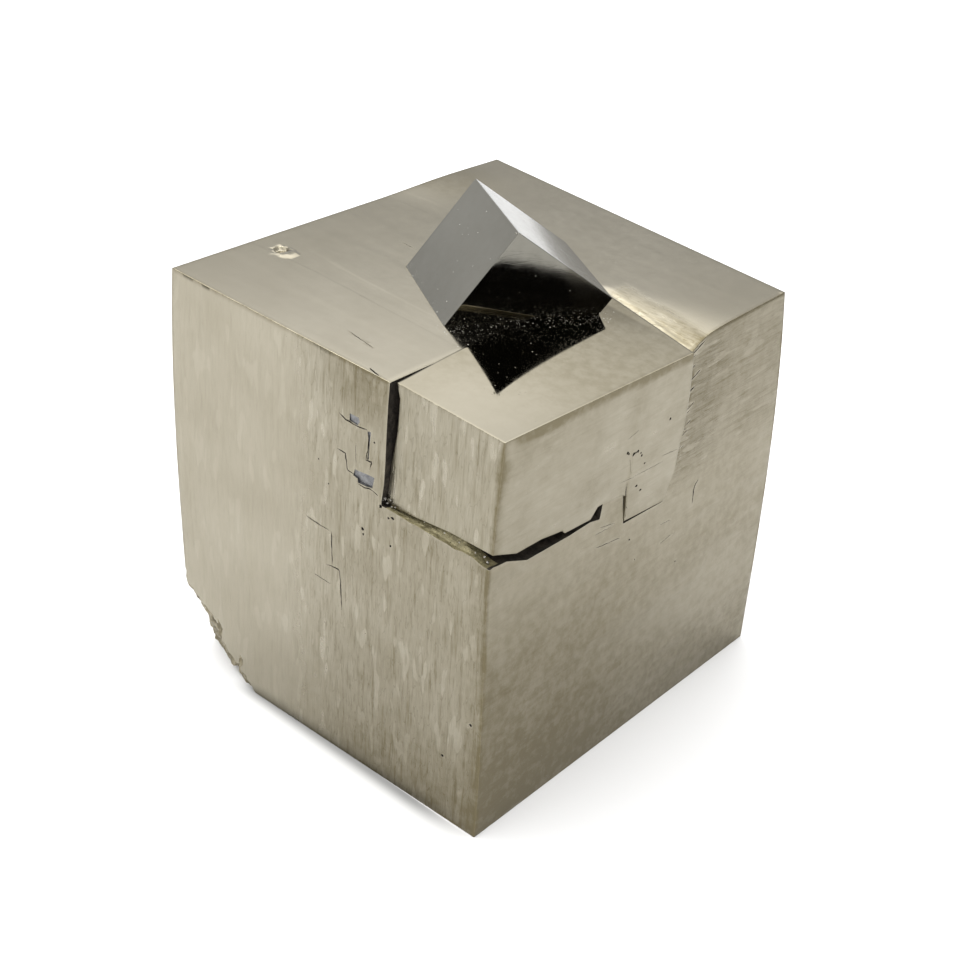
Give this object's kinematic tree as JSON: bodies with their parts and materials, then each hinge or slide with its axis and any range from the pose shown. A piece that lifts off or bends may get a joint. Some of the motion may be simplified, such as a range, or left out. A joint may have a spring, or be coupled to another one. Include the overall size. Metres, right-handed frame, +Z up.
{
  "type": "pyrite crystal cluster",
  "caption": "Natural pyrite cluster: a large cube crystal with a block crystal set in one top corner and a small tilted cube on top.",
  "frame": {"origin": "middle of the bounding box's underside, where the main crystal rests", "axes": "+Z up along the main crystal's upright edges, +X and +Y out of two of its side faces; the corner crystal is at +X, -Y"},
  "size_m": [0.041, 0.0448, 0.0519],
  "materials": {
    "main_pyrite": "satin",
    "corner_pyrite": "gloss",
    "tilted_pyrite": "polished"
  },
  "bodies": {
    "root": {"main_crystal": "main_pyrite", "corner_crystal": "corner_pyrite", "tilted_crystal": "tilted_pyrite"}
  },
  "joints": []
}
